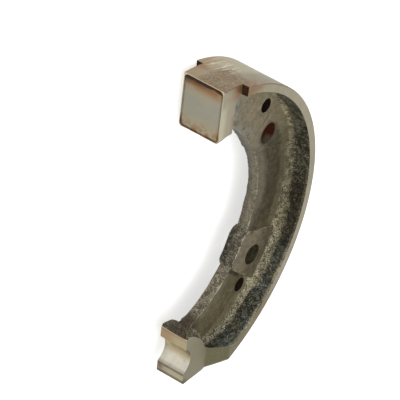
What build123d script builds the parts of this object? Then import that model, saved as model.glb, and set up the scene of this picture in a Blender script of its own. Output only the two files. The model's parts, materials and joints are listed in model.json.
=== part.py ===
from build123d import *
from math import cos, radians, sin, sqrt
import os

# Brake shoe for a single-cam drum brake: one bare aluminium casting. Millimetres.
#
# Z runs along the drum's axis. The origin is the centre of the lining table's arc, at mid width.
# +X points to the crown of the shoe and +Y to the end that the cam pushes. The casting is the same
# on both sides of its parting plane, z = 0, so one half is modelled and mirrored.

# Lining table: the arched plate that carries the lining
table_radius = 75.0          # outer face, concentric with the drum
table_thickness = 4.2
table_width = 25.0

# Web: the flat ring sector inside the table
web_thickness = 5.0
web_depth = 25.0             # from the table's outer face to the web's inner edge
web_leave_angle = 36.0       # where the inner edge leaves its circle for the cam end
pocket_draft = 3.0           # degrees, on the walls of the pockets beside the web
pocket_foot_radius = 3.5     # between the pocket walls and the web
pocket_corner_radius = 4.0   # at the two ends of the table's inner wall

# Both ends are faced to one plane, clear of the other shoe
end_plane_x = 7.0

# Cam end: a square pad that the cam bears on
cam_pad_thickness = 9.0
cam_pad_width = 19.0
cam_pad_height = 25.0        # from the table's outer circle to the pad's inner edge
cam_pad_overhang = 4.0       # the pad reaches this far past the web's inner edge
cam_pad_corner_radius = 1.5
cam_root_radius = 1.5        # between the pad's back and the web's inner edge
shoulder_length = 12.0       # the table is narrowed to the pad's width over this length

# Pivot end: a narrow tongue with a half-round seat for the anchor pin
tongue_width = 13.0
tongue_radius = 22.0         # the tongue's round root, centred on the line between the two shoes
tongue_rise = 4.0            # of that root above the web's inner circle
tongue_flat_depth = 2.8      # flat on the tongue's outer side, cut into the table's outer circle
ramp_start_x = 29.7          # the table's full width ends here
ramp_length = 7.9            # and slopes down to the tongue over this length
lobe_edge_radius = 1.3       # on the outer edges of the two lobes beside the seat
pivot_wall_height = 13.5     # from the table's outer circle to the pockets at this end
seat_radius = 7.0
seat_depth = 3.9             # deepest point of the seat behind the end plane
seat_height = 14.8           # from the table's outer circle to the seat's centre

# Raised bosses on the web, and the holes through them
boss_rise = 1.0
boss_draft = 6.0             # degrees
boss_corner_radius = 4.5
boss_overhang = 2.4          # the pivot boss stands this far inside the web's inner edge
boss_low_angle = -41.0
boss_high_angle = -20.5
cam_boss_reach = 8.0         # from the large hole's centre to the straight end of the cam boss
cam_boss_tilt = 17.4         # degrees, of that end
large_hole_diameter = 9.2
small_hole_diameter = 6.3
pivot_large_angle = -31.9
pivot_large_offset = 0.0     # each hole's distance outwards from the middle of the web
cam_large_angle = 29.7
cam_large_offset = -1.6
pivot_small_angle = -44.4
pivot_small_offset = 4.3
cam_small_angle = 43.6
cam_small_offset = 4.5

cast_edge_radius = 0.5       # on the free edges left as cast

# Worked out from the sizes above
table_inner_radius = table_radius - table_thickness
web_inner_radius = table_radius - web_depth
web_middle_radius = (web_inner_radius + table_inner_radius) / 2
boss_inner_radius = web_inner_radius - boss_overhang
half_width = table_width / 2
half_web = web_thickness / 2
half_boss = half_web + boss_rise
pad_back_x = end_plane_x + cam_pad_thickness
cam_pad_inner_y = table_radius - cam_pad_height
web_end_y = cam_pad_inner_y + cam_pad_overhang
shoulder_x = end_plane_x + shoulder_length
ramp_end_x = ramp_start_x - ramp_length
tongue_centre_y = tongue_rise - web_inner_radius - tongue_radius
tongue_flat_y = tongue_flat_depth - table_radius
pocket_end_y = pivot_wall_height - table_radius
seat_y = seat_height - table_radius
outside = 2 * table_radius   # reaches past the whole casting


def polar(radius, angle):
    """Point at this radius and angle (degrees) from the drum's axis."""
    return (radius * cos(radians(angle)), radius * sin(radians(angle)))


def circle_y(radius, x, centre_y=0.0):
    """Upper point, at this x, of a circle centred on the Y axis."""
    return centre_y + sqrt(radius**2 - x**2)


def circle_x(radius, y, centre_y=0.0):
    """Right-hand point, at this y, of a circle centred on the Y axis."""
    return sqrt(radius**2 - (y - centre_y) ** 2)


def corners_at(sketch, *points):
    """The sketch's corner nearest to each point."""
    return [sketch.vertices().sort_by_distance(point)[0] for point in points]


def tongue_meets_web():
    """Point where the tongue's round root crosses the web's inner circle."""
    y = (web_inner_radius**2 - tongue_radius**2 + tongue_centre_y**2) / (2 * tongue_centre_y)
    return (circle_x(web_inner_radius, y), y)


def side_outline():
    """Outline of the whole casting, seen along the drum's axis."""
    leave = polar(web_inner_radius, web_leave_angle)
    leave_heading = (-sin(radians(web_leave_angle)), cos(radians(web_leave_angle)))
    tongue_top = (end_plane_x, circle_y(tongue_radius, end_plane_x, tongue_centre_y))
    tongue_web = tongue_meets_web()
    table_end = (circle_x(table_radius, tongue_flat_y), tongue_flat_y)
    with BuildSketch() as sketch:
        with BuildLine():
            Line((end_plane_x, cam_pad_inner_y), (end_plane_x, circle_y(table_radius, end_plane_x)))
            RadiusArc((end_plane_x, circle_y(table_radius, end_plane_x)), (table_radius, 0), table_radius)
            RadiusArc((table_radius, 0), table_end, table_radius)
            Polyline(table_end, (end_plane_x, tongue_flat_y), tongue_top)
            RadiusArc(tongue_top, tongue_web, tongue_radius)
            RadiusArc(tongue_web, leave, -web_inner_radius)
            TangentArc(leave, (pad_back_x, web_end_y), tangent=leave_heading)
            Polyline((pad_back_x, web_end_y), (pad_back_x, cam_pad_inner_y), (end_plane_x, cam_pad_inner_y))
        make_face()
        fillet(corners_at(sketch, (pad_back_x, web_end_y)), cam_root_radius)
        fillet(corners_at(sketch, tongue_top, (end_plane_x, tongue_flat_y)), lobe_edge_radius)
    return sketch.sketch


def edge_envelope():
    """Upper half of what the side view is trimmed to: the widths of the two ends and of the table."""
    cam_side = Polyline((0, 0), (0, cam_pad_width / 2), (shoulder_x, cam_pad_width / 2),
                        (shoulder_x, half_width), (outside, half_width), (outside, 0), close=True)
    pivot_side = Polyline((0, 0), (0, tongue_width / 2), (ramp_end_x, tongue_width / 2),
                          (ramp_start_x, half_width), (outside, half_width), (outside, 0), close=True)
    cam_part = extrude(Plane.XZ * make_face(cam_side), -outside)
    pivot_part = extrude(Plane.XZ * make_face(pivot_side), outside)
    return cam_part + pivot_part


def pocket():
    """The hollow above the web, between the table, the tongue and the cam pad."""
    wall_end = circle_x(table_inner_radius, pocket_end_y)
    tongue_end = circle_x(tongue_radius, pocket_end_y, tongue_centre_y)
    pad_corner = (pad_back_x, circle_y(table_inner_radius, pad_back_x))
    tongue_top = (0, tongue_centre_y + tongue_radius)
    with BuildSketch() as floor:
        with BuildLine():
            RadiusArc(pad_corner, (table_inner_radius, 0), table_inner_radius)
            RadiusArc((table_inner_radius, 0), (wall_end, pocket_end_y), table_inner_radius)
            Line((wall_end, pocket_end_y), (tongue_end, pocket_end_y))
            RadiusArc((tongue_end, pocket_end_y), tongue_top, -tongue_radius)
            Polyline(tongue_top, (0, 0), (pad_back_x, 0), pad_corner)
        make_face()
        fillet(corners_at(floor, pad_corner, (wall_end, pocket_end_y), (tongue_end, pocket_end_y)),
               pocket_corner_radius)
    hollow = extrude(Pos(Z=half_web) * floor.sketch, table_width, taper=-pocket_draft)
    foot = hollow.faces().sort_by(Axis.Z)[0].edges()
    return fillet(foot, pocket_foot_radius)


def rounded_inside(edges):
    """The solid of these edges, with the one nearest to the drum's axis rounded as cast."""
    return fillet(edges.sort_by_distance((0, 0, 0))[0], cast_edge_radius)


def pivot_boss():
    """Sector round the pivot end's large hole, standing a little inside the web's inner edge."""
    outer_radius = table_radius - table_thickness / 2
    corners = [polar(boss_inner_radius, boss_low_angle), polar(boss_inner_radius, boss_high_angle)]
    with BuildSketch() as sketch:
        with BuildLine():
            RadiusArc(corners[1], corners[0], boss_inner_radius)
            Line(corners[0], polar(outer_radius, boss_low_angle))
            RadiusArc(polar(outer_radius, boss_low_angle), polar(outer_radius, boss_high_angle),
                      -outer_radius)
            Line(polar(outer_radius, boss_high_angle), corners[1])
        make_face()
        fillet(corners_at(sketch, *corners), boss_corner_radius)
    return rounded_inside(extrude(sketch.sketch, half_boss, taper=boss_draft).edges().group_by()[-1])


def cam_boss():
    """Raised ground of the cam end, which stops in a straight edge past the large hole."""
    ground = Rectangle(2 * outside, outside, align=(Align.CENTER, Align.MIN))
    hole = polar(web_middle_radius + cam_large_offset, cam_large_angle)
    place = Pos(*hole) * Rot(Z=-cam_boss_tilt) * Pos(Y=-cam_boss_reach)
    block = extrude(place * ground, half_boss, taper=boss_draft)
    slab = split(extrude(side_outline(), half_boss), Plane.XZ, Keep.BOTTOM)
    return rounded_inside(block.edges().group_by()[-1]) & rounded_inside(slab.edges().group_by()[-1])


def holes():
    """The four holes through the web."""
    drills = [(cam_large_offset, cam_large_angle, large_hole_diameter),
              (pivot_large_offset, pivot_large_angle, large_hole_diameter),
              (cam_small_offset, cam_small_angle, small_hole_diameter),
              (pivot_small_offset, pivot_small_angle, small_hole_diameter)]
    return [Pos(*polar(web_middle_radius + offset, angle)) * Cylinder(diameter / 2, table_width)
            for offset, angle, diameter in drills]


def anchor_seat():
    """The half-round notch in the pivot end that bears on the anchor pin."""
    centre_x = end_plane_x + seat_depth - seat_radius
    return Pos(centre_x, seat_y) * Cylinder(seat_radius, table_width)


def upper_half():
    """The casting above its parting plane."""
    body = (extrude(side_outline(), half_width) & edge_envelope()) - pocket()
    pad_edge = body.edges().filter_by(Axis.X).sort_by_distance(
        (pad_back_x, cam_pad_inner_y, cam_pad_width / 2))[0]
    body = fillet(pad_edge, cam_pad_corner_radius)
    body = rounded_inside(body.edges().filter_by_position(Axis.Z, half_web, half_web))
    return body + [pivot_boss(), cam_boss()]


half = upper_half()
shoe_casting = half + mirror(half, Plane.XY)
shoe_casting -= holes() + [anchor_seat()]
os.makedirs("parts", exist_ok=True)
export_step(shoe_casting, "parts/shoe_casting.step")
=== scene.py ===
import json
from math import cos, radians, sin

import bmesh
import bpy
from bpy.props import FloatProperty, FloatVectorProperty, IntProperty, PointerProperty
from mathutils import Matrix, Vector


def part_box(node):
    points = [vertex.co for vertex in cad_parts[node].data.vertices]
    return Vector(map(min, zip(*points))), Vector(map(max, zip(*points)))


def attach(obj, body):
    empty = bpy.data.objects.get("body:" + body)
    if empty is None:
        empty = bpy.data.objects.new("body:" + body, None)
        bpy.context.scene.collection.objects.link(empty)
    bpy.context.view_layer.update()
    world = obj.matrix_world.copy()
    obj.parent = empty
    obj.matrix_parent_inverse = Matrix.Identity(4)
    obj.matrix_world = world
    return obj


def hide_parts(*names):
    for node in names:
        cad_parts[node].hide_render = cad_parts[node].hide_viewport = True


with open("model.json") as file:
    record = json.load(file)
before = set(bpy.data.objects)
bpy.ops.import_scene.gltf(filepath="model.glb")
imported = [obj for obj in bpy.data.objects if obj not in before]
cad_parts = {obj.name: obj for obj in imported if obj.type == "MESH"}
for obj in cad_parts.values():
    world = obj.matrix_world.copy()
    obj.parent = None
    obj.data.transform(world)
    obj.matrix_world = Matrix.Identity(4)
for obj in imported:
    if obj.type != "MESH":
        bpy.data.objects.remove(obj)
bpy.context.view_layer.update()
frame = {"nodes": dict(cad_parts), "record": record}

bl_info = {
    "name": "Cast brake shoe",
    "version": (1, 0, 0),
    "blender": (4, 5, 0),
    "location": "3D View > Sidebar > Brake Shoe",
    "description": "Gives a cast brake shoe its skin, its machined faces and a stage to stand on",
    "category": "Add Mesh",
}

# Lengths are metres, and millimetres inside the finishes. Z runs along the drum's axis, +X points
# to the shoe's crown and +Y to its cam end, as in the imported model.

MM = 0.001
NODE = "shoe_casting"
LOW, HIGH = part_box(NODE)
MOUNTS = {mount["name"]: mount for mount in frame["record"]["mounts"]}
HOLES = ("cam_large_hole", "pivot_large_hole", "cam_small_hole", "pivot_small_hole")
ZONES = ("cast", "machined", "end_face", "seat", "bore")

# Places on the casting
END_PLANE_X = LOW.x
RIM_Z = HIGH.z
TABLE_RADIUS = HIGH.x
PAD_HALF_WIDTH = 9.5 * MM
PAD_BOTTOM_Y = 50 * MM
PAD_TOP_Y = HIGH.y
PAD_BORDER_RADIUS = 2.2 * MM   # of the corners of the stains round its face
SHOULDER_X = 19 * MM
TONGUE_HALF_WIDTH = 6.5 * MM
TONGUE_TOP_Y = -45 * MM
TONGUE_ROOT = (0.0, -68 * MM)
TONGUE_ROOT_RADIUS = 22 * MM
CROWN_FOOT = 1.5 * MM          # how far off the round root the crown still takes in
CROWN_END_X = 16 * MM
CROWN_MIDDLE_X = 10 * MM
CROWN_HALF_LENGTH = 3.3 * MM
LOBE_TOP_Y = -48.4 * MM
RAMP_END_X = 29.7 * MM
SEAT_LIP = Vector((END_PLANE_X, MOUNTS["anchor_seat"]["pos_m"][1] + 6.3 * MM))
SEAT_LIP_REACH = 1 * MM
SEAT_LIP_WEAR = 2.5            # times the wear of the other corners
BOSS_INNER_RADIUS = 47.6 * MM
BOSS_CORNER_RADIUS = 4.5 * MM
BOSS_END_ANGLE = radians(41)   # from +X towards -Y

# Making the mesh and its finish
WELD = 0.002 * MM
CORNER_ANGLE = radians(32)
CAST_CORNER_ANGLE = radians(70)
FLAT_ANGLE = radians(1.5)
PASSES = 9
COARSE_PASSES = 5
NEAR = 0.06 * MM               # a facet this near a face belongs to it
TRIANGLE_LIMIT = 200000
BUMP_DEPTH = 0.36 * MM

# Stage
FLOOR_HALF_WIDTH = 6.0
LAMP_PLACE = Vector((-0.75, 0.55, 1.2))
LAMP_WIDTH = 1.2
CAMERA_PLACE = Vector((-0.89171, 0.83887, 0.58964))
CAMERA_RIGHT = Vector((0.60322, 0.09629, 0.79174))
CAMERA_UP = Vector((0.43836, 0.78927, -0.42998))
CAMERA_LENS = 315
CAMERA_SENSOR = 36
CAMERA_CLIP = (0.05, 50)


def shade(red, green, blue):
    """A colour given as 0-255 screen values, in Blender's linear values."""
    values = [channel / 255 for channel in (red, green, blue)]
    linear = [v / 12.92 if v <= 0.04045 else ((v + 0.055) / 1.055) ** 2.4 for v in values]
    return (*linear, 1.0)


def colour_property(name, description, red, green, blue):
    return FloatVectorProperty(name=name, description=description, subtype="COLOR", size=4,
                               min=0, max=1, default=shade(red, green, blue))


def length_property(name, description, millimetres):
    return FloatProperty(name=name, description=description, default=millimetres * MM,
                         min=0, subtype="DISTANCE", unit="LENGTH")


class CastingSettings(bpy.types.PropertyGroup):
    mesh_edge: length_property("Mesh edge", "Longest edge of the dense mesh", 1.7)
    fine_edge: length_property("Fine edge", "Longest mesh edge beside a sharp corner", 0.9)
    corner_wear: length_property("Corner wear", "How far sharp corners are rubbed down", 0.16)
    tongue_crown: length_property("Tongue crown", "Height of the cast crown over the tongue", 2.2)
    grain_size: length_property("Grain size", "Size of the sand grain in the cast skin", 1.3)
    grain_depth: length_property("Grain depth", "Depth of the sand grain", 0.19)
    swell_size: length_property("Swell size", "Size of the slow unevenness of the skin", 9.0)
    swell_depth: length_property("Swell depth", "Depth of that unevenness", 0.7)
    seed: IntProperty(name="Seed", description="Changes the pattern of the grain", default=3)
    web: colour_property("Web", "Smooth dark skin of the web", 84, 77, 56)
    boss: colour_property("Boss", "Rubbed skin of the raised bosses", 122, 112, 90)
    wall: colour_property("Wall", "Dark skin of the pocket walls", 68, 65, 51)
    foot: colour_property("Foot", "Grain where the walls meet the web", 110, 103, 80)
    inner_edge: colour_property("Inner edge", "Skin of the web's inner edge", 116, 109, 92)
    # Bright grains, partly painted glints; this colour also paints the sheen on the web's round
    # inner edge.
    speck: colour_property("Speck", "Bright grains in the skin", 206, 200, 176)
    # Besides real pits, this colour paints the shadow just beyond the pivot boss's step.
    pit: colour_property("Pit", "Dark pits in the skin", 34, 24, 12)
    verdigris: colour_property("Cool tint", "Faint blue-green cast in the pockets", 74, 86, 84)
    machined: colour_property("Machined", "Turned and milled faces", 160, 153, 130)
    # Rubbed bright metal, partly painted edge highlights; also the painted highlight on the front
    # of the pad's sides.
    worn: colour_property("Worn corner", "Bright metal on rubbed corners", 222, 213, 188)
    olive: colour_property("Olive", "Dull film at the pivot end", 112, 108, 82)
    end_face: colour_property("End face", "Face that the cam bears on", 145, 141, 126)
    lobe: colour_property("Lobe", "Faces beside the anchor seat", 166, 153, 122)
    copper: colour_property("Copper stain", "Stain left by heat and grease", 136, 98, 62)
    # Old dirt, and also painted shade on the shoulders' step faces and painted shadow in the anchor
    # seat.
    soot: colour_property("Soot", "Old dirt in corners and on edges", 52, 31, 13)
    seat: colour_property("Seat", "Bright wear where the anchor pin sits", 206, 202, 188)
    bore: colour_property("Bore", "Dirt inside the holes", 28, 15, 8)
    steel: colour_property("Bare web", "Bluish bare metal at the root of the pad", 124, 126, 121)
    rust: colour_property("Rust", "Red dirt in the large hole", 84, 34, 14)


class StageSettings(bpy.types.PropertyGroup):
    floor: colour_property("Floor", "Colour of the floor", 238, 238, 236)
    floor_glow: FloatProperty(name="Floor glow", description="Brings the floor up to white in view",
                              default=0.66, min=0)
    world_strength: FloatProperty(name="World", description="Strength of the even light",
                                  default=0.55, min=0)
    key_power: FloatProperty(name="Key lamp", description="Power of the large soft lamp",
                             default=9.0, min=0, subtype="POWER", unit="POWER")


# Node trees

class Value:
    """A number in a node tree. Each sum written with it adds its Math node."""

    def __init__(self, graph, socket):
        self.graph = graph
        self.socket = socket

    def maths(self, operation, *others):
        node = self.graph.node("ShaderNodeMath", {"operation": operation},
                               dict(enumerate((self, *others))))
        return Value(self.graph, node.outputs[0])

    def __add__(self, other):
        return self.maths("ADD", other)

    __radd__ = __add__

    def __sub__(self, other):
        return self.maths("SUBTRACT", other)

    def __rsub__(self, other):
        return (self * -1) + other

    def __mul__(self, other):
        return self.maths("MULTIPLY", other)

    __rmul__ = __mul__

    def __truediv__(self, other):
        return self.maths("DIVIDE", other)

    def __rtruediv__(self, other):
        return (self ** -1) * other

    def __pow__(self, other):
        return self.maths("POWER", other)

    def __abs__(self):
        return self.maths("ABSOLUTE")

    def min(self, other):
        return self.maths("MINIMUM", other)

    def max(self, other):
        return self.maths("MAXIMUM", other)

    def rise(self, start, end):
        """0 up to start and 1 from end, smooth between; end may lie below start."""
        low, high = sorted((start, end))
        node = self.graph.node("ShaderNodeMapRange", {"interpolation_type": "SMOOTHSTEP"},
                               {"Value": self, "From Min": low, "From Max": high})
        up = Value(self.graph, node.outputs["Result"])
        return up if start < end else 1 - up


class Graph:
    """A node tree under construction, for a material or for Geometry Nodes."""

    def __init__(self, tree):
        self.tree = tree

    def node(self, kind, settings=(), inputs=()):
        node = self.tree.nodes.new(kind)
        for name, value in dict(settings).items():
            setattr(node, name, value)
        for key, value in dict(inputs).items():
            socket = node.inputs[key] if isinstance(key, int) else self.find(node.inputs, key)
            if isinstance(value, Value):
                value = value.socket
            if isinstance(value, bpy.types.NodeSocket):
                self.tree.links.new(value, socket)
            else:
                socket.default_value = value[:3] if socket.type == "VECTOR" else value
        return node

    @staticmethod
    def find(sockets, key):
        """The enabled socket with this identifier or name."""
        for socket in sockets:
            if socket.identifier == key or (socket.name == key and socket.enabled):
                return socket
        raise KeyError(key)

    def value(self, kind, settings=(), inputs=(), output=0):
        return Value(self, self.node(kind, settings, inputs).outputs[output])

    def noise(self, place, size, detail=2.0, roughness=0.5, seed=0.0):
        """Soft random pattern from 0 to 1 whose patches are about this size."""
        return self.value("ShaderNodeTexNoise", {"noise_dimensions": "4D"},
                          {"Vector": place, "W": seed, "Scale": 1 / size, "Detail": detail,
                           "Roughness": roughness}, "Fac")

    def mix(self, first, second, factor):
        """First colour where the factor is 0, second where it is 1."""
        return self.node("ShaderNodeMix", {"data_type": "RGBA"},
                         {"Factor_Float": factor, "A_Color": first, "B_Color": second}).outputs[2]

    def scaled(self, colour, factor):
        """A colour made lighter or darker by a factor."""
        return self.node("ShaderNodeVectorMath", {"operation": "SCALE"},
                         {"Vector": colour, "Scale": factor}).outputs[0]

    def attribute(self, name):
        return self.value("ShaderNodeAttribute", {"attribute_name": name}, (), "Fac")

    def streaks(self, place, squeeze, width, seed):
        """Random streaks of about this width that run square to the drum's axis."""
        squeezed = self.node("ShaderNodeMapping", (), {"Vector": place,
                                                       "Scale": (squeeze, squeeze, 1.0)})
        return self.noise(squeezed.outputs[0], width, detail=2.0, roughness=0.6, seed=seed)


class Paint:
    """A colour in a node tree that is worked over in layers."""

    def __init__(self, graph, colour):
        self.graph = graph
        self.colour = colour

    def cover(self, colour, amount):
        """Lays another colour over it: none where the amount is 0, all of it where 1."""
        self.colour = self.graph.mix(self.colour, colour, amount)

    def light(self, factor):
        """Makes it lighter or darker by a factor."""
        self.colour = self.graph.scaled(self.colour, factor)


def empty_material(name):
    """A material without nodes, and the graph that fills it."""
    material = bpy.data.materials.new(name)
    material.use_nodes = True
    material.node_tree.nodes.clear()
    return material, Graph(material.node_tree)


# Casting

def hole_places():
    """Centre and radius of each hole through the web."""
    return [(Vector(MOUNTS[name]["pos_m"]).to_2d(), MOUNTS[name]["dims"]["r_mm"] * MM)
            for name in HOLES]


def zone_of(centre, normal, holes):
    """Which finish a facet of the casting has."""
    width = abs(centre.z)
    radius = centre.to_2d().length
    faces_out = Vector((centre.x, centre.y, 0)).normalized().dot(normal) > 0.99
    faces_side = abs(normal.z) > 0.6
    faces_down = normal.y < -0.5
    along_axis = abs(normal.z) < 0.5
    seat = MOUNTS["anchor_seat"]
    seat_distance = (centre - Vector(seat["pos_m"])).to_2d().length
    if any((centre.to_2d() - hole).length < hole_radius + NEAR for hole, hole_radius in holes):
        return "bore"
    if seat_distance < seat["dims"]["r_mm"] * MM + NEAR and along_axis:
        return "seat"
    if centre.x < END_PLANE_X + NEAR:
        return "end_face"
    on_rim = width > RIM_Z - NEAR
    on_table = faces_out and radius > TABLE_RADIUS - 2 * NEAR
    on_pad = centre.y > PAD_BOTTOM_Y - NEAR and centre.x < SHOULDER_X - NEAR
    on_pad_side = on_pad and width > PAD_HALF_WIDTH - NEAR
    on_tongue = centre.y < TONGUE_TOP_Y and centre.x < RAMP_END_X
    on_tongue_side = on_tongue and faces_side and width > TONGUE_HALF_WIDTH - NEAR
    under_tongue = on_tongue and faces_down
    if on_rim or on_table or on_pad_side or on_tongue_side or under_tongue:
        return "machined"
    return "cast"


def dense_mesh(source, settings):
    """Welded copy of a CAD mesh with short edges, finer beside its sharp corners."""
    mesh = bmesh.new()
    mesh.from_mesh(source)
    bmesh.ops.remove_doubles(mesh, verts=mesh.verts, dist=WELD)

    def is_sharp(edge):
        return edge.is_manifold and edge.calc_face_angle() > CORNER_ANGLE

    for turn in range(PASSES):
        sharp = {vertex for edge in mesh.edges if is_sharp(edge) for vertex in edge.verts}
        long_edges = []
        for edge in mesh.edges:
            fine = edge.verts[0] in sharp or edge.verts[1] in sharp
            limit = settings.fine_edge if fine and turn >= COARSE_PASSES else settings.mesh_edge
            if edge.calc_length() > limit:
                long_edges.append(edge)
        if not long_edges:
            break
        bmesh.ops.subdivide_edges(mesh, edges=long_edges, cuts=1)
        bmesh.ops.triangulate(mesh, faces=[face for face in mesh.faces if len(face.verts) > 3])
        flat = [edge for edge in mesh.edges
                if edge.is_manifold and edge.calc_face_angle() < FLAT_ANGLE]
        bmesh.ops.beautify_fill(mesh, faces=mesh.faces, edges=flat)
    return mesh


def mark_zones(mesh):
    """Writes each facet's zone and each edge's shading, and returns the corners' vertices."""
    holes = hole_places()
    layers = {zone: mesh.faces.layers.float.new(zone) for zone in ZONES}
    zones = {}
    for face in mesh.faces:
        zones[face] = zone_of(face.calc_center_median(), face.normal, holes)
        face[layers[zones[face]]] = 1.0
        face.smooth = True
    corners = set()
    for edge in mesh.edges:
        angle = edge.calc_face_angle() if edge.is_manifold else 0.0
        both_cast = all(zones[face] == "cast" for face in edge.link_faces)
        edge.smooth = angle < (CAST_CORNER_ANGLE if both_cast else CORNER_ANGLE)
        if not edge.smooth:
            corners.update(edge.verts)
    return corners


def crown_of(place, settings):
    """How far the cast crown over the tongue stands above the plain round root."""
    from_root = Vector((place.x - TONGUE_ROOT[0], place.y - TONGUE_ROOT[1]))
    off_root = abs(from_root.length - TONGUE_ROOT_RADIUS)
    if off_root > CROWN_FOOT or place.x > CROWN_END_X:
        return 0.0
    across = max(0.0, 1 - (place.z / TONGUE_HALF_WIDTH) ** 4)
    along = max(0.0, 1 - ((place.x - CROWN_MIDDLE_X) / CROWN_HALF_LENGTH) ** 2)
    return settings.tongue_crown * across * along


def wear_of(place, settings):
    """How far a sharp corner is rubbed down; the seat's upper lip is the softest."""
    near_lip = (place.to_2d() - SEAT_LIP).length < SEAT_LIP_REACH
    return settings.corner_wear * (SEAT_LIP_WEAR if near_lip else 1.0)


def shape_corners(mesh, corners, settings):
    """Raises the crown over the tongue, and rubs down and marks the sharp corners."""
    corner_layer = mesh.verts.layers.float.new("corner")
    for vertex in mesh.verts:
        rise = crown_of(vertex.co, settings)
        if vertex in corners:
            rise -= wear_of(vertex.co, settings)
            vertex[corner_layer] = 1.0
        vertex.co += vertex.normal * rise


class BRAKE_SHOE_OT_casting(bpy.types.Operator):
    """Make the casting: dense mesh, rubbed-down corners, cast skin and finish"""

    bl_idname = "brake_shoe.casting"
    bl_label = "Casting"

    def execute(self, context):
        settings = context.scene.brake_shoe_casting
        mesh = dense_mesh(frame["nodes"][NODE].data, settings)
        shape_corners(mesh, mark_zones(mesh), settings)
        data = bpy.data.meshes.new("casting")
        mesh.to_mesh(data)
        mesh.free()
        raw = bpy.data.objects.new("casting_raw", data)
        context.scene.collection.objects.link(raw)
        plain = grown_skin(raw, settings, casting_finish(settings))
        bpy.data.objects.remove(raw)
        if len(plain.polygons) > TRIANGLE_LIMIT:
            raise RuntimeError(f"the casting has {len(plain.polygons)} triangles")
        casting = bpy.data.objects.new("casting", plain)
        context.scene.collection.objects.link(casting)
        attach(casting, "root")
        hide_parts(NODE)
        return {"FINISHED"}


def skin_tree():
    """Geometry Nodes that raise a cast grain wherever the 'cast' attribute is set."""
    tree = bpy.data.node_groups.new("Cast skin", "GeometryNodeTree")
    for name, kind in (("Geometry", "NodeSocketGeometry"), ("Grain Size", "NodeSocketFloat"),
                       ("Grain Depth", "NodeSocketFloat"), ("Swell Size", "NodeSocketFloat"),
                       ("Swell Depth", "NodeSocketFloat"), ("Seed", "NodeSocketFloat"),
                       ("Finish", "NodeSocketMaterial")):
        tree.interface.new_socket(name, in_out="INPUT", socket_type=kind)
    tree.interface.new_socket("Geometry", in_out="OUTPUT", socket_type="NodeSocketGeometry")
    graph = Graph(tree)
    given = graph.node("NodeGroupInput").outputs
    place = graph.node("GeometryNodeInputPosition").outputs[0]
    normal = graph.node("GeometryNodeInputNormal").outputs[0]
    cast = graph.value("GeometryNodeInputNamedAttribute", {"data_type": "FLOAT"}, {"Name": "cast"})

    def unevenness(name, detail):
        """Up and down by half the depth, in lumps of the size that the inputs give."""
        size = Value(graph, given[name + " Size"])
        pattern = graph.noise(place, size, detail, seed=Value(graph, given["Seed"]))
        return (pattern - 0.5) * Value(graph, given[name + " Depth"])

    lift = (unevenness("Grain", 2.0) + unevenness("Swell", 1.0)) * 2 * cast
    moved = graph.node("GeometryNodeSetPosition", (), {"Geometry": given["Geometry"],
                                                       "Offset": graph.scaled(normal, lift)})
    whole = graph.node("GeometryNodeRealizeInstances", (), {"Geometry": moved.outputs[0]})
    dressed = graph.node("GeometryNodeSetMaterial", (), {"Geometry": whole.outputs[0],
                                                         "Material": given["Finish"]})
    graph.node("NodeGroupOutput", (), {"Geometry": dressed.outputs[0]})
    return tree


def grown_skin(raw, settings, finish):
    """The mesh of the raw casting with its cast skin, as plain data."""
    tree = skin_tree()
    modifier = raw.modifiers.new("Cast skin", "NODES")
    modifier.node_group = tree
    values = {"Grain Size": settings.grain_size, "Grain Depth": settings.grain_depth,
              "Swell Size": settings.swell_size, "Swell Depth": settings.swell_depth,
              "Seed": float(settings.seed), "Finish": finish}
    for item in tree.interface.items_tree:
        if item.in_out == "INPUT" and item.name in values:
            modifier[item.identifier] = values[item.name]
    evaluated = raw.evaluated_get(bpy.context.evaluated_depsgraph_get())
    plain = bpy.data.meshes.new_from_object(evaluated)
    raw.modifiers.remove(modifier)
    return plain


# Finishes of the casting. A rise is given the two places, in millimetres, or the two levels of a
# pattern between which a trait comes in.

class Surface:
    """What the casting's finishes follow at the point that they colour.

    x, y and z are its place in millimetres, radius its distance from the drum's axis and height
    its distance from the web's middle plane. level is 1 where the surface faces along the axis,
    and outer is 1 on the table's outer face. fine, coarse, cloud and patch are patterns of ever
    larger spots.
    """

    def __init__(self, graph):
        self.place = graph.node("ShaderNodeTexCoord").outputs["Object"]
        split = graph.node("ShaderNodeSeparateXYZ", (), {"Vector": self.place})
        self.x, self.y, self.z = (Value(graph, split.outputs[axis]) / MM for axis in range(3))
        facing = graph.node("ShaderNodeSeparateXYZ", (),
                            {"Vector": graph.node("ShaderNodeNewGeometry").outputs["Normal"]})
        self.level = abs(Value(graph, facing.outputs[2]))
        self.radius = self.distance(0, 0)
        self.height = abs(self.z)
        self.outer = self.radius.rise(74.2, 74.6)
        self.fine = graph.noise(self.place, 0.5 * MM, detail=2.0, roughness=0.65, seed=1.0)
        self.coarse = graph.noise(self.place, 1.9 * MM, detail=3.0, roughness=0.6, seed=2.0)
        self.cloud = graph.noise(self.place, 6 * MM, detail=3.0, roughness=0.55, seed=3.0)
        self.patch = graph.noise(self.place, 16 * MM, detail=3.0, roughness=0.55, seed=4.0)

    def distance(self, x, y):
        """Distance from a line along the axis through this place."""
        along, up = self.x - x, self.y - y
        return (along * along + up * up) ** 0.5


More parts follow.
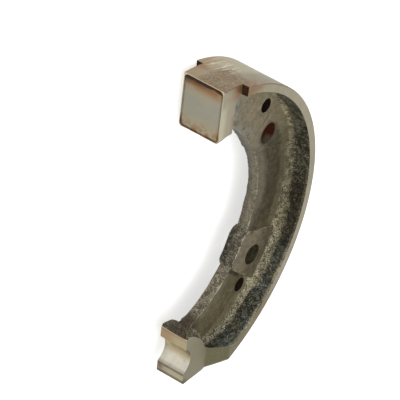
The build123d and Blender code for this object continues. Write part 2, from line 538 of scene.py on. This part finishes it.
class SkinAreas:
    """Where the areas of the cast skin lie: 1 inside each, 0 outside and soft between."""

    def __init__(self, at):
        x, y, radius, height = at.x, at.y, at.radius, at.height
        self.flat = at.level.rise(0.86, 0.98)
        self.steep = at.level.rise(0.62, 0.2)
        foot_swell = y.rise(-8, -16) * y.rise(-51, -45) * 1.7 - y.rise(-46, -51) * 0.5
        above_foot = (height - foot_swell).rise(4.4, 6.2)
        self.wall = self.steep * radius.rise(60, 64) * above_foot
        self.edge_face = self.steep * radius.rise(62, 56)
        self.foot = (1 - self.flat) * (1 - self.edge_face) * (1 - self.wall)
        self.pivot_boss = height.rise(2.7, 3.3) * y.rise(-6, -12)
        self.cam_end = y.rise(21, 35)
        self.middle = y.rise(-26, -13) * y.rise(34, 20)
        self.wall_by_boss = self.wall * y.rise(6, -8) * y.rise(-39, -29)
        self.wall_by_tongue = self.wall * y.rise(-46, -50) * y.rise(-58, -54)
        self.pocket_end = (1 - self.flat) * y.rise(-57.5, -61.5) * height.rise(9.5, 6.5)
        self.over_tongue = y.rise(-45.2, -46.4) * y.rise(-58, -54) * x.rise(21, 16)
        # Step faces of the shoulders beside the pad, where the colour paints shade
        self.shoulder = x.rise(15.5, 17.5) * x.rise(22, 20.5) * height.rise(8.8, 9.4)
        self.shoulder = self.shoulder * y.rise(62, 66)
        self.pad_root = y.rise(44, 51) * x.rise(32, 25) * self.flat


def foot_colour(graph, settings, at):
    """Pale grain where the pocket walls meet the web, palest at the cam end."""
    y = at.y
    by_small_hole = y.rise(-32, -39) * y.rise(-49, -45)
    light = 1.1 + y.rise(16, 28) * 0.45 + y.rise(-18, -26) * 0.08
    return graph.scaled(settings.foot, light + by_small_hole * 0.45 + y.rise(-46, -52) * 0.2)


def web_colour(graph, settings, at, areas, foot):
    """Flat of the web: dark in the middle, paler on the bosses, at its edge and at the cam end."""
    y, radius = at.y, at.radius
    by_wall = radius.rise(57, 63) * (1 - areas.cam_end) * 0.24
    boss = graph.scaled(settings.boss, 0.8 + areas.cam_end * 0.22 - by_wall)
    web = Paint(graph, settings.web)
    web.cover(boss, areas.pivot_boss.max(areas.cam_end))
    mottle = (at.cloud - 0.5) * 0.7 + (at.coarse - 0.5) * 0.8
    web.light(1.12 - areas.middle * (1 - areas.pivot_boss) * 0.4 + mottle)
    above_boss = y.rise(-14, -6)
    by_edge = radius.rise(55, 51).max(radius.rise(57.5, 53) * above_boss)
    web.cover(settings.inner_edge, by_edge * (0.5 + above_boss * 0.2))
    web.light(1 + y.rise(-38, -46) * y.rise(-60, -54) * 0.12)
    web.cover(foot, radius.rise(63.5, 66.5) * (1 - areas.pivot_boss) * 0.65)
    web.light(1 + radius.rise(54, 52.5) * y.rise(22, 28) * 0.22)
    return web.colour


def inner_edge_colour(graph, settings, at):
    """Inner edge of the web, dirty in places and darkest on the pivot boss's inner side."""
    y, z = at.y, at.z
    dirt = z.rise(0.6, -1.6) * y.rise(-36, -28) * (0.22 + at.coarse * 0.25)
    dirt = dirt + y.rise(-22, -28) * y.rise(-38, -33) * 0.16
    dirt = dirt + y.rise(14, 22) * y.rise(34, 28) * 0.12
    rubbed = z.rise(-0.5, -2) * y.rise(-34, -38) * 0.22
    boss_side = at.radius.rise(49.6, 48.2) * 0.45
    return graph.scaled(settings.inner_edge, 1.06 - boss_side - dirt + rubbed)


def colour_walls(skin, settings, at, areas):
    """Dark pocket walls, with a blue-green cast towards the pivot end and a pale top edge."""
    y, height = at.y, at.height
    wall, off_flat = areas.wall, 1 - areas.flat
    skin.cover(settings.wall, wall)
    waves = (at.coarse + at.cloud * 0.5 - 0.75) * (0.7 + wall * 0.9)
    waves = off_flat * (1 - areas.edge_face) * waves
    skin.light(1.04 + waves - areas.middle * off_flat * 0.2)
    skin.cover(settings.pit, areas.wall_by_boss * 0.5)
    slope = height.rise(9, 6.5) * 0.15 - height.rise(9, 11) * 0.12
    skin.light(1 + wall * y.rise(-6, 8) * slope - areas.wall_by_tongue * 0.42)
    skin.cover(inner_edge_colour(skin.graph, settings, at), areas.edge_face)
    cool = wall.max(off_flat * at.radius.rise(64, 67) * 0.3) * y.rise(-24, -37)
    cool = cool * at.cloud.rise(0.36, 0.6) * (1 - areas.wall_by_tongue * 0.7)
    skin.cover(settings.verdigris, cool * 0.72)
    skin.cover(settings.pit, areas.pocket_end * 0.5)
    top_edge = wall * height.rise(10.9, 11.9) * (0.25 + y.rise(-24, -38) * 0.45)
    skin.cover(settings.machined, top_edge * y.rise(14, 0))


def darken_hollows(skin, settings, at, areas):
    """The crown over the tongue and the shoulders beside the pad are the darkest places; the
    shoulders' step faces get painted shade.
    """
    x, y, height = at.x, at.y, at.height
    skin.cover(settings.pit, areas.over_tongue * (0.1 + at.coarse.rise(0.34, 0.62) * 0.75))
    # Painted shade on the shoulders' step faces, a little lighter in the middle of the slot.
    slot_middle = height.rise(9.9, 10.6) * height.rise(12.1, 11.4) * y.rise(68, 69.5)
    skin.cover(settings.soot, areas.shoulder * (0.92 - slot_middle * 0.35))
    behind_pad = x.rise(17, 19) * x.rise(25, 22) * y.rise(62.5, 65.5) * height.rise(3.8, 5.5)
    skin.cover(settings.soot, behind_pad * 0.65)


def add_edge_sheen_and_bare_root(skin, settings, at, areas):
    """The web's round inner edge gets a painted sheen, and the root of the pad is bare."""
    off_faces = (1 - areas.flat) * (1 - areas.steep)
    # Painted sheen along the round inner edge of the web, in the bright grain colour.
    round_edge = off_faces * at.radius.rise(56, 53) * at.height.rise(3.9, 3.3)
    painted_sheen = 0.1 + at.cloud * 0.4 - at.y.rise(-14, -8) * 0.1
    skin.cover(settings.speck, round_edge * painted_sheen.max(0))
    skin.cover(settings.steel, areas.pad_root * (0.45 + at.cloud * 0.4))


def add_flaws_and_step_shadow(skin, settings, at):
    """A painted shadow just beyond the pivot boss's lower end, lumps beside the pad, and dirt round
    the large hole.
    """
    x, y, radius, coarse = at.x, at.y, at.radius, at.coarse

    # How far a point lies beyond the boss's lower end, which has a round corner
    corner = BOSS_CORNER_RADIUS / MM
    above_end = x * sin(BOSS_END_ANGLE) + y * cos(BOSS_END_ANGLE)
    across = (BOSS_INNER_RADIUS / MM + corner - radius).max(0)
    along = (corner - above_end).max(0)
    beyond = (across * across + along * along) ** 0.5 - corner
    # Painted shadow of the boss's step: a thin dark line just beyond its lower end.
    boss_step_shadow = (beyond + (coarse - 0.5) * 0.8).rise(-0.5, 0) * beyond.rise(1.6, 1.0)
    boss_step_shadow = boss_step_shadow * radius.rise(50.2, 51.4) * radius.rise(61, 58.5)
    skin.cover(settings.pit, boss_step_shadow * y.rise(-25, -29) * at.z.rise(0, 1) * 0.85)

    lumpy = y.rise(31, 37) * x.rise(43, 37) * radius.rise(55, 52)
    skin.cover(settings.steel, lumpy * coarse.rise(0.46, 0.58) * 0.75)
    skin.cover(settings.pit, lumpy * coarse.rise(0.47, 0.37) * 0.5)
    hole = Vector(MOUNTS["cam_large_hole"]["pos_m"]) / MM
    ring = at.distance(hole.x, hole.y).rise(7, 4.8)
    skin.cover(settings.soot, ring * at.cloud.rise(0.4, 0.6) * 0.5)


def add_grain_and_glints(skin, settings, at, areas):
    """Fine light and dark specks in clusters, closest at the walls' foot, and old stains; the light
    specks are bright grains and partly painted glints.

    Returns how rough the skin is, from 0 to 1.
    """
    x, y, height, fine, coarse, cloud = at.x, at.y, at.height, at.fine, at.coarse, at.cloud
    calm = areas.flat * 0.9 + areas.edge_face * y.rise(-22, -10) * 0.62
    rough = (1 - calm).max(areas.pad_root * (0.45 + at.radius.rise(57, 53) * 0.4))
    grain = fine.rise(0.36, 0.64) * 0.6 + coarse.rise(0.4, 0.62) * 0.4
    skin.light(1 + (grain - 0.45) * (0.3 + rough * 1.2))

    pivot_half = y.rise(-19, -26)
    cluster = coarse.rise(0.42, 0.6) * 0.6 + cloud.rise(0.42, 0.6) * 0.4 + 0.06
    by_foot = areas.foot * pivot_half * (0.4 + coarse.rise(0.34, 0.6) * 0.4)
    # Light specks: bright grains, and partly painted glints of the sparkly skin.
    specks = fine.rise(0.48, 0.66) * cluster.max(by_foot)
    specks = specks * (1 - areas.shoulder) * (1 - areas.wall_by_boss * 0.65)
    beside_crown = areas.over_tongue * height.rise(3.5, 5)
    specks = specks * (1 - areas.over_tongue * 0.3) * (1 - beside_crown * 0.7)
    specks = specks * (0.06 + rough * (0.5 + areas.foot * (pivot_half * 0.7 - 0.05)))
    skin.cover(settings.speck, specks.min(1))
    pits = rough * coarse.rise(0.45, 0.34) * (0.35 + areas.pocket_end * 0.3)
    skin.cover(settings.pit, pits)

    stain = at.patch.rise(0.56, 0.68) * cloud.rise(0.44, 0.6)
    by_crown = y.rise(-44, -47) * y.rise(-52, -50) * height.rise(4, 3) * x.rise(24, 18)
    skin.cover(settings.soot, stain.max(by_crown) * 0.4)
    return rough


def skin_colour(graph, settings, at):
    """Colour of the cast skin, and how rough it is from 0 to 1."""
    areas = SkinAreas(at)
    foot = foot_colour(graph, settings, at)
    skin = Paint(graph, foot)
    skin.cover(web_colour(graph, settings, at, areas, foot), areas.flat)
    colour_walls(skin, settings, at, areas)
    darken_hollows(skin, settings, at, areas)
    add_edge_sheen_and_bare_root(skin, settings, at, areas)
    add_flaws_and_step_shadow(skin, settings, at)
    rough = add_grain_and_glints(skin, settings, at, areas)
    return skin.colour, rough


def unturned_patch(at):
    """The patch of the table's outer face, beside the pad, that the lathe didn't reach."""
    return at.outer * at.y.rise(59, 64) * at.x.rise(29, 23) * at.z.rise(-6, -1)


def stain_outer_face(metal, settings, at, streak):
    """The table's outer face: rough and dirty beside the pad, with rubbed streaks behind."""
    x, y, z, fine, coarse, outer = at.x, at.y, at.z, at.fine, at.coarse, at.outer
    metal.cover(settings.lobe, outer * y.rise(58, 68) * 0.6)
    patch = unturned_patch(at)
    away = x.rise(15, 23)
    dirty = Paint(metal.graph, settings.foot)
    dirty.light(0.94 - away * 0.34)
    dirty.cover(settings.speck, fine.rise(0.5, 0.66) * (0.64 - away * 0.24))
    dirty.cover(settings.pit, fine.rise(0.46, 0.34) * 0.4)
    metal.cover(dirty.colour, patch * (0.45 + coarse.rise(0.3, 0.6) * 0.5))
    metal.cover(settings.copper, patch * (0.22 + x.rise(16, 22) * 0.14))
    behind = outer * y.rise(60, 66) * z.rise(4, -2) * x.rise(16, 24) * x.rise(34, 29)
    metal.cover(settings.worn, behind * streak.rise(0.5, 0.6) * 0.7)
    by_rim = outer * y.rise(54, 62) * x.rise(24, 30) * z.rise(0, 6)
    metal.cover(settings.foot, by_rim * 0.65)
    front = x.rise(13, 8.5).max(z.rise(-4, -6) * x.rise(26, 18)).max(z.rise(8, 12) * 0.5)
    metal.cover(settings.copper, outer * front * y.rise(60, 66) * (0.1 + at.cloud * 0.4))


def stain_and_highlight_pad_sides(metal, settings, at):
    """Coppery beside the shoulders, and on the pad's sides a painted highlight in front and brown
    behind.
    """
    x, y, height, cloud = at.x, at.y, at.height, at.cloud
    by_shoulder = y.rise(64, 70) * x.rise(9, 17.5) * x.rise(34, 26) * height.rise(7, 9)
    brown = (by_shoulder * (0.5 + cloud * 0.7)).min(0.9)
    metal.cover(settings.copper, brown * (1 - at.outer * 0.55))
    # Painted highlight: a bright band near the front of the pad's sides.
    front = y.rise(68, 64) * y.rise(48, 50) * x.rise(12, 8) * height.rise(11, 10)
    metal.cover(settings.worn, front * (0.2 + cloud * 0.5))
    back = y.rise(44, 50) * x.rise(12.5, 16.5) * x.rise(19, 18) * height.rise(12, 11)
    metal.cover(settings.copper, back * (0.15 + cloud.rise(0.38, 0.6) * 0.45))


def stain_pivot_end(metal, settings, at):
    """Brown and olive film on the rim, under the lower lobe, on the tongue and on the ramp."""
    x, y = at.x, at.y
    on_rim = at.height.rise(12.2, 12.4)
    metal.cover(settings.copper, on_rim * y.rise(-46, -52) * (0.2 + at.cloud * 0.6))
    metal.light(1 - on_rim * y.rise(-6, 0) * y.rise(18, 8) * 0.08)
    brown_spot = at.distance(45.9, -53.7).rise(5, 1.5)
    metal.cover(settings.copper, brown_spot * 0.7)
    metal.cover(settings.olive, y.rise(-38, -56) * 0.55)
    under_lobe = y.rise(-69.4, -70.6) * x.rise(11, 8.5)
    metal.cover(settings.soot, under_lobe * (0.4 + at.coarse * 0.4))
    tongue = y.rise(-44, -50) * x.rise(24, 20) * 0.3
    metal.cover(settings.olive, tongue * (0.3 + at.cloud * 0.3))
    ramp = y.rise(-57, -60) * x.rise(20.5, 22.5) * x.rise(47, 33)
    grain = 0.92 + (at.fine - 0.5) * 1.0 + at.level.rise(0.9, 1.0) * 0.12
    dull = metal.graph.scaled(settings.olive, grain)
    metal.cover(dull, ramp * (1 - at.outer * 0.55))


def machined_colour(graph, settings, at):
    """Pale turned and milled faces, finely streaked, stained and dulled at the pivot end."""
    streak = graph.streaks(at.place, squeeze=0.12, width=0.6 * MM, seed=5.0)
    metal = Paint(graph, settings.machined)
    metal.light(1 + (streak - 0.5) * 0.22 + (at.cloud - 0.5) * 0.3 + (at.fine - 0.5) * 0.12)
    metal.cover(settings.copper, at.cloud.rise(0.52, 0.7) * at.patch.rise(0.4, 0.6) * 0.45)
    stain_outer_face(metal, settings, at, streak)
    stain_and_highlight_pad_sides(metal, settings, at)
    stain_pivot_end(metal, settings, at)
    return metal.colour


def pad_face_colour(graph, settings, at, mottle):
    """The pad's face: grey with brown borders, a dark line round it and a rubbed frame."""
    y, z, coarse, cloud = at.y, at.z, at.coarse, at.cloud
    face = Paint(graph, graph.scaled(settings.end_face, mottle))

    # Distance in from a border with round corners
    corner = PAD_BORDER_RADIUS / MM
    middle_y = (PAD_TOP_Y + PAD_BOTTOM_Y) / 2 / MM
    half_y = (PAD_TOP_Y - PAD_BOTTOM_Y) / 2 / MM
    across = (at.height - (PAD_HALF_WIDTH / MM - corner)).max(0)
    along = (abs(y - middle_y) - (half_y - corner)).max(0)
    inside = corner - (across * across + along * along) ** 0.5
    down = PAD_TOP_Y / MM - y
    lower = y.rise(57.5, 51)

    tan = y.rise(61, 53) * (0.7 + z.rise(0, 8) * 0.4) + y.rise(64.5, 71.5)
    face.cover(graph.scaled(settings.lobe, 0.84), (tan * (0.5 + cloud * 0.5)).min(1))
    face.cover(settings.copper, down.rise(7, 2.6) * (0.35 + cloud.rise(0.35, 0.6) * 0.65))
    blotch = (coarse + lower * 0.1).rise(0.5, 0.62) * inside.rise(4.5, 1.2) * lower
    face.cover(settings.copper, blotch * 0.9)
    line = inside.rise(1.5, 0.8) * inside.rise(0.1, 0.45)
    strength = 0.35 + lower * 0.35 + cloud.rise(0.45, 0.6) * 0.3
    face.cover(settings.soot, (line * strength).min(0.9))
    below_frame = inside.rise(0.25, 0.5)
    haze = (down + (cloud - 0.5) * 5).rise(4.6, 2) * z.rise(7, -3)
    face.cover(settings.soot, haze * below_frame * 0.65)
    top_line = (down + (cloud - 0.5) * 3).rise(2.5, 1.3)
    face.cover(graph.scaled(settings.soot, 0.75), top_line * below_frame)
    rubbed = graph.mix(settings.worn, settings.copper, lower * (0.3 + coarse * 0.5))
    face.cover(rubbed, inside.rise(0.4, 0.15) * (0.3 + coarse * 0.5))
    return face.colour


def lobe_colour(graph, settings, at, mottle):
    """The end faces of the lobes beside the seat: tan, with dirt at their lips and a bright top
    edge that is partly a painted highlight.
    """
    y, z, coarse, cloud = at.y, at.z, at.coarse, at.cloud
    top = LOBE_TOP_Y / MM
    lobes = Paint(graph, graph.scaled(settings.lobe, mottle))
    lobes.cover(settings.copper, y.rise(-58, -54) * z.rise(3, -4) * (0.25 + cloud * 0.3))
    low = y.rise(-64, -66)
    lobes.cover(settings.worn, low * cloud.rise(0.36, 0.56) * 0.14)
    lobes.cover(settings.end_face, low * 0.35)
    lips = y.rise(-68, -67.2) * low + y.rise(-69.7, -70.4)
    lobes.cover(settings.soot, lips * (0.35 + coarse * 0.5))
    # Bright line along the upper lobe's top edge: rubbed metal and partly a painted highlight.
    rubbed_top_highlight = y.rise(top - 0.8, top - 0.4)
    lobes.cover(settings.worn, rubbed_top_highlight * (0.5 + cloud * 0.5))
    under_top = (y + (cloud - 0.5) * 1.5).rise(top - 2.4, top - 1.4)
    lobes.cover(settings.copper, under_top * (1 - rubbed_top_highlight) * 0.28)
    spot = z.rise(-2.5, -5.2) * y.rise(-66, -68) * y.rise(-70.5, -69)
    lobes.cover(settings.soot, spot * 0.55)
    return lobes.colour


def end_face_colour(graph, settings, at):
    """The faces in the end plane: the lobes' below and the pad's above."""
    mottle = 1 + (at.cloud - 0.5) * 0.22 + (at.fine - 0.5) * 0.14
    return graph.mix(lobe_colour(graph, settings, at, mottle),
                     pad_face_colour(graph, settings, at, mottle), at.y.rise(20, 30))


def seat_colour(graph, settings, at):
    """Tan under the upper lobe and bright where the pin has rubbed, with painted shadow below the
    upper lobe, at the upper part of its front end and along the lower lip.
    """
    y, z, coarse = at.y, at.z, at.coarse
    streak = graph.streaks(at.place, squeeze=0.1, width=0.7 * MM, seed=6.0)
    seat = Paint(graph, settings.lobe)
    seat.cover(settings.seat, y.rise(-59.5, -64) * (0.6 + coarse * 0.5))
    mottle = (at.cloud - 0.5) * 0.3 + (streak - 0.5) * 0.25 + (coarse - 0.5) * 0.3
    seat.light(0.94 + mottle)
    seat.light(1.06 - z.rise(-3, -6.5) * 0.16)
    # Painted shadow: a band under the upper lobe, a patch at the upper part of the front end and a
    # line at the lower lip.
    crescent_shadow = z.rise(2.5, 5.8) * y.rise(-61.5, -57.5)
    shadow = y.rise(-56.2, -54.4) * 0.45 + y.rise(-65.4, -66.3) * 0.35 + crescent_shadow * 0.5
    seat.cover(settings.soot, shadow.min(0.8))
    return seat.colour


def bore_colour(graph, settings, at):
    """Dirt in the holes, red in the cam end's large one, and paler in the pivot boss's; the lower
    front of the large one gets painted light.
    """
    y, z, coarse = at.y, at.z, at.coarse
    hole = Vector(MOUNTS["cam_large_hole"]["pos_m"]) / MM
    here = at.distance(hole.x, hole.y).rise(8, 6)
    above = y - hole.y
    dirt = Paint(graph, graph.scaled(settings.bore, 0.6 + coarse * 0.8))
    dirt.cover(settings.rust, here * above.rise(4, 0.5) * (0.35 + coarse * 0.5))
    in_boss = y.rise(-14, -20) * y.rise(-40, -38) * z.rise(-6, 2)
    dirt.cover(settings.foot, in_boss * (0.15 + coarse.rise(0.35, 0.65) * 0.3))
    # Painted light on the lower front part of the large hole's bore.
    pale = here * above.rise(-2.6, -4.2) * z.rise(-0.5, 2.0)
    dirt.cover(settings.foot, pale * 0.8)
    return dirt.colour


def casting_finish(settings):
    """One material for the casting; the zone attributes choose its finish."""
    material, graph = empty_material("cast_aluminium_finish")
    at = Surface(graph)
    machined, end_face, seat, bore = (graph.attribute(zone) for zone in ZONES[1:])
    smooth = machined + end_face + seat
    skin, rough = skin_colour(graph, settings, at)
    paint = Paint(graph, skin)
    paint.cover(machined_colour(graph, settings, at), machined)
    paint.cover(end_face_colour(graph, settings, at), end_face)
    paint.cover(seat_colour(graph, settings, at), seat)
    paint.cover(bore_colour(graph, settings, at), bore)

    # Rubbed bright metal on the sharp corners, partly a painted edge highlight, most of all the
    # bright line along the upper lobe's top edge.
    corner = graph.attribute("corner").rise(0.4, 1.0)
    top_of_lobe_highlight = at.x.rise(8.4, 7.4) * at.y.rise(-51.5, -50.5) * at.y.rise(-45, -46)
    rubbed = corner * (1 - bore) * (0.25 + at.cloud.rise(0.4, 0.62) * 0.6)
    rubbed = rubbed.max(corner * top_of_lobe_highlight * 0.9)
    paint.cover(settings.worn, rubbed * (0.35 + smooth * 0.65))

    grain = at.fine * 0.65 + at.coarse * 0.35
    grainy = rough * (1 - smooth) + machined * unturned_patch(at) * 0.8
    bump = graph.node("ShaderNodeBump", (), {"Strength": 1.0, "Distance": BUMP_DEPTH,
                                             "Height": grain * grainy + at.coarse * smooth * 0.06})
    roughness = 0.6 - smooth * 0.16 + (at.coarse - 0.5) * 0.25 - seat * 0.12 + bore * 0.25
    shader = graph.node("ShaderNodeBsdfPrincipled", (), {
        "Base Color": paint.colour, "Metallic": 0.25 + smooth * 0.3 - bore * 0.2,
        "Roughness": roughness, "Specular IOR Level": 0.2, "Normal": bump.outputs[0]})
    graph.node("ShaderNodeOutputMaterial", (), {"Surface": shader.outputs[0]})
    return material


# Stage

def in_view(graph):
    """1 for the rays by which the camera sees a surface, straight, mirrored or through glass."""
    rays = graph.node("ShaderNodeLightPath").outputs
    seen = Value(graph, rays["Is Camera Ray"]).max(Value(graph, rays["Is Glossy Ray"]))
    return seen.max(Value(graph, rays["Is Transmission Ray"]))


def floor_finish(settings):
    """Matt floor that keeps its shadows, with a glow in view that brings it up to white."""
    material, graph = empty_material("floor_white")
    matt = graph.node("ShaderNodeBsdfDiffuse", (), {"Color": settings.floor})
    glow = graph.node("ShaderNodeEmission", (), {"Color": (1, 1, 1, 1),
                                                 "Strength": in_view(graph) * settings.floor_glow})
    both = graph.node("ShaderNodeAddShader", (), {0: matt.outputs[0], 1: glow.outputs[0]})
    graph.node("ShaderNodeOutputMaterial", (), {"Surface": both.outputs[0]})
    return material


def even_light(settings):
    """White world that lights the shoe at a plain level and is pure white in view."""
    world = bpy.data.worlds.new("even_light")
    world.use_nodes = True
    world.node_tree.nodes.clear()
    graph = Graph(world.node_tree)
    strength = in_view(graph) * (1 - settings.world_strength) + settings.world_strength
    sky = graph.node("ShaderNodeBackground", (), {"Color": (1, 1, 1, 1), "Strength": strength})
    graph.node("ShaderNodeOutputWorld", (), {"Surface": sky.outputs[0]})
    return world


def make_floor(settings):
    half = FLOOR_HALF_WIDTH
    data = bpy.data.meshes.new("floor")
    data.from_pydata([(-half, -half, LOW.z), (half, -half, LOW.z), (half, half, LOW.z),
                      (-half, half, LOW.z)], [], [(0, 1, 2, 3)])
    data.materials.append(floor_finish(settings))
    return bpy.data.objects.new("floor", data)


def make_key(settings):
    """The large soft lamp, turned to the shoe."""
    lamp = bpy.data.lights.new("key", "AREA")
    lamp.shape = "DISK"
    lamp.size = LAMP_WIDTH
    lamp.energy = settings.key_power
    key = bpy.data.objects.new("key", lamp)
    key.location = LAMP_PLACE
    key.rotation_euler = (-LAMP_PLACE).to_track_quat("-Z", "Y").to_euler()
    return key


def make_camera():
    lens = bpy.data.cameras.new("camera")
    lens.sensor_width = CAMERA_SENSOR
    lens.lens = CAMERA_LENS
    lens.clip_start, lens.clip_end = CAMERA_CLIP
    back = CAMERA_RIGHT.cross(CAMERA_UP)
    turned = Matrix((CAMERA_RIGHT, CAMERA_UP, back)).transposed()
    camera = bpy.data.objects.new("camera", lens)
    camera.matrix_world = Matrix.Translation(CAMERA_PLACE) @ turned.to_4x4()
    return camera


class BRAKE_SHOE_OT_stage(bpy.types.Operator):
    """Make the floor, the even light, the soft lamp and the camera"""

    bl_idname = "brake_shoe.stage"
    bl_label = "Stage"

    def execute(self, context):
        settings = context.scene.brake_shoe_stage
        scene = context.scene
        scene.view_settings.view_transform = "Standard"
        floor, key, camera = make_floor(settings), make_key(settings), make_camera()
        for thing in (floor, key, camera):
            scene.collection.objects.link(thing)
        scene.world = even_light(settings)
        scene.camera = camera
        return {"FINISHED"}


class BRAKE_SHOE_PT_panel(bpy.types.Panel):
    """Lists the steps that make the shoe"""

    bl_idname = "BRAKE_SHOE_PT_panel"
    bl_label = "Brake Shoe"
    bl_space_type = "VIEW_3D"
    bl_region_type = "UI"
    bl_category = "Brake Shoe"

    def draw(self, context):
        for operator, group in ((BRAKE_SHOE_OT_casting, "brake_shoe_casting"),
                                (BRAKE_SHOE_OT_stage, "brake_shoe_stage")):
            box = self.layout.box()
            box.operator(operator.bl_idname)
            settings = getattr(context.scene, group)
            for name in settings.bl_rna.properties.keys():
                if name not in ("rna_type", "name"):
                    box.prop(settings, name)


CLASSES = (CastingSettings, StageSettings, BRAKE_SHOE_OT_casting, BRAKE_SHOE_OT_stage,
           BRAKE_SHOE_PT_panel)


def register():
    for cls in CLASSES:
        bpy.utils.register_class(cls)
    bpy.types.Scene.brake_shoe_casting = PointerProperty(type=CastingSettings)
    bpy.types.Scene.brake_shoe_stage = PointerProperty(type=StageSettings)


def unregister():
    del bpy.types.Scene.brake_shoe_stage
    del bpy.types.Scene.brake_shoe_casting
    for cls in reversed(CLASSES):
        bpy.utils.unregister_class(cls)


def main():
    register()
    bpy.ops.brake_shoe.stage()
    bpy.ops.brake_shoe.casting()


if __name__ == "__main__":
    main()
